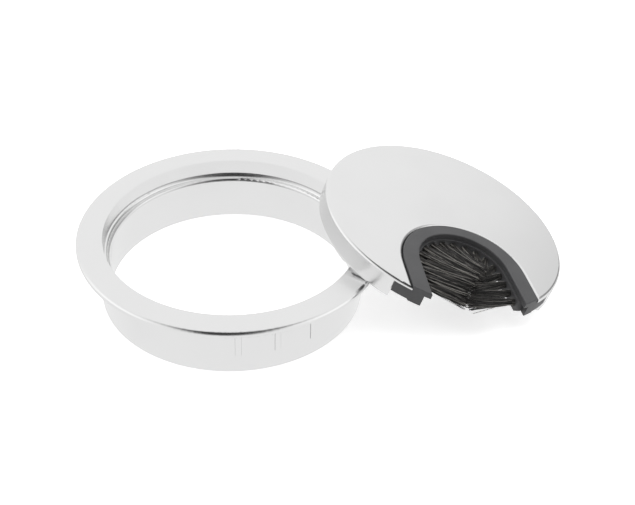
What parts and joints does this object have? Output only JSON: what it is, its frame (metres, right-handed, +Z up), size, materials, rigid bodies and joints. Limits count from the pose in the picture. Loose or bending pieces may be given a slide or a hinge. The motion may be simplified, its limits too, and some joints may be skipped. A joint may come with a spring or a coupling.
{
  "type": "cable grommet",
  "caption": "Round flanged desk cable grommet with its brush-mouthed lid taken off and leaning on the ring.",
  "frame": {"origin": "on the ring's axis, at the foot of its collar, where the ring stands on the table", "axes": "+Z up along the ring's axis from the foot to the flange; +X towards the lid's low side; +Y to the back, away from the viewer"},
  "size_m": [0.1472, 0.093, 0.0315],
  "materials": {
    "satin_chrome": "satin plating on a zinc casting",
    "black_plastic": "fine matt moulding",
    "bristle_nylon": "slightly glossy nylon filament",
    "anchor_wire": "plain flat wire"
  },
  "bodies": {
    "root": {"ring": "satin_chrome", "lid": "satin_chrome", "brush_holder": "black_plastic", "brush_strip": "black_plastic", "tuft_01": "bristle_nylon", "tuft_02": "bristle_nylon", "tuft_03": "bristle_nylon", "tuft_04": "bristle_nylon", "tuft_05": "bristle_nylon", "tuft_06": "bristle_nylon", "tuft_07": "bristle_nylon", "tuft_08": "bristle_nylon", "tuft_09": "bristle_nylon", "tuft_10": "bristle_nylon", "tuft_11": "bristle_nylon", "tuft_12": "bristle_nylon", "tuft_13": "bristle_nylon", "tuft_14": "bristle_nylon", "tuft_15": "bristle_nylon", "tuft_16": "bristle_nylon", "tuft_17": "bristle_nylon", "tuft_anchors": "anchor_wire"}
  },
  "joints": []
}
